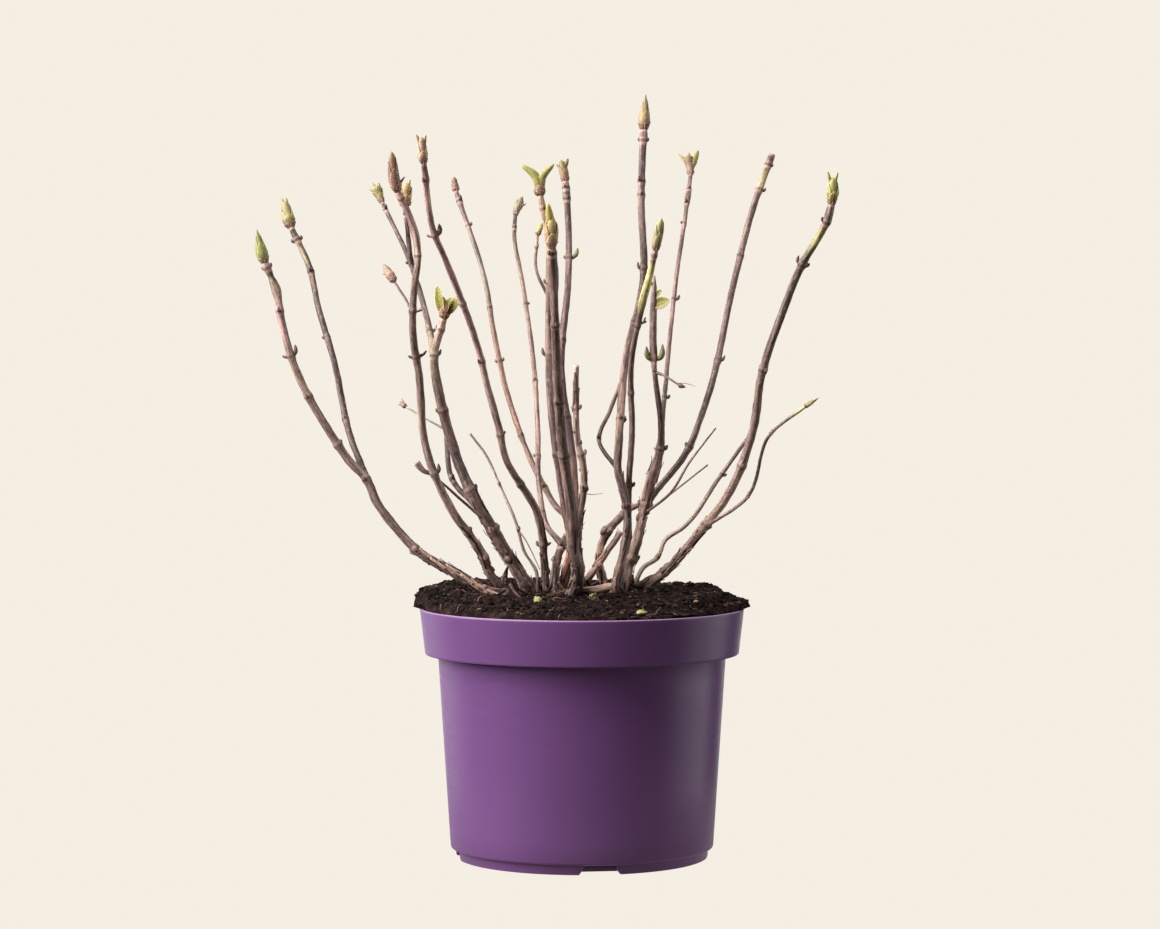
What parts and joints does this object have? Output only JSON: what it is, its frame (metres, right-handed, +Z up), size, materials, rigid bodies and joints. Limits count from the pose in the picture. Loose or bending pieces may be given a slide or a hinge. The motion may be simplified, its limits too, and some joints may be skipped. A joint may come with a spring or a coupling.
{
  "type": "potted hydrangea shrub",
  "caption": "Bare deciduous shrub with slender upright stems and swelling buds, in a round purple nursery pot filled with dark soil.",
  "frame": {"origin": "on the pot's axis, in the plane of its flat underside", "axes": "+Z up along the pot's axis, -Y towards the viewer in front, +X to the viewer's right"},
  "size_m": [0.4019, 0.3482, 0.5431],
  "materials": {
    "pot": "smooth purple moulded plastic with a soft gloss",
    "soil": "dark loose peat and bark crumbs, dull",
    "bark_dark": "dark purple-brown bark with fine grain and pale rings at the nodes",
    "bark_pink": "young pinkish-tan bark, smooth and thin",
    "bud_green": "yellow-green bud scales and young folded leaves",
    "bud_olive": "olive bud scales with tan edges",
    "bud_brown": "brown closed bud scales",
    "bud_pink": "tan-pink bud scales"
  },
  "bodies": {
    "root": {"pot": "pot", "soil": "soil", "bough_back": "bark_pink", "bough_back_right": "bark_pink", "bough_far_left": "bark_pink", "bough_front_right": "bark_dark", "bough_left": "bark_dark", "bough_left_dark": "bark_dark", "bough_left_upper": "bark_dark", "bough_right": "bark_dark", "bough_wavy": "bark_dark", "old_piece": "bark_pink", "shard": "bark_dark", "shoot_back": "bud_pink", "shoot_back_left": "bud_brown", "shoot_bough_back": "bud_olive", "shoot_bough_back_right": "bud_green", "shoot_bough_far_left": "bud_green", "shoot_bough_front_right": "bud_green", "shoot_bough_left": "bud_olive", "shoot_bough_left_upper": "bud_olive", "shoot_far_left": "bud_green", "shoot_far_right": "bud_green", "shoot_front": "bud_olive", "shoot_front_left": "bud_pink", "shoot_left": "bud_brown", "shoot_left_thick": "bud_green", "shoot_middle": "bud_green", "shoot_tall": "bud_olive", "stem_back": "bark_dark", "stem_back_left": "bark_pink", "stem_cut": "bark_dark", "stem_far_left": "bark_dark", "stem_far_right": "bark_dark", "stem_front": "bark_dark", "stem_front_left": "bark_dark", "stem_left": "bark_dark", "stem_left_thick": "bark_dark", "stem_left_thin": "bark_dark", "stem_middle": "bark_dark", "stem_right_thick": "bark_dark", "stem_right_thin": "bark_dark", "stem_tall": "bark_dark", "stub_back": "bark_dark", "stub_front": "bark_dark", "stub_tan": "bark_pink", "top_right_thick": "bud_green", "twig_far_right": "bark_dark", "twig_left_bud": "bark_dark", "twig_left_fine": "bark_dark", "twig_left_low": "bark_dark", "twig_middle": "bark_dark", "twig_right": "bark_dark", "twig_right_hair": "bark_dark", "twig_right_small": "bark_dark"}
  },
  "joints": []
}
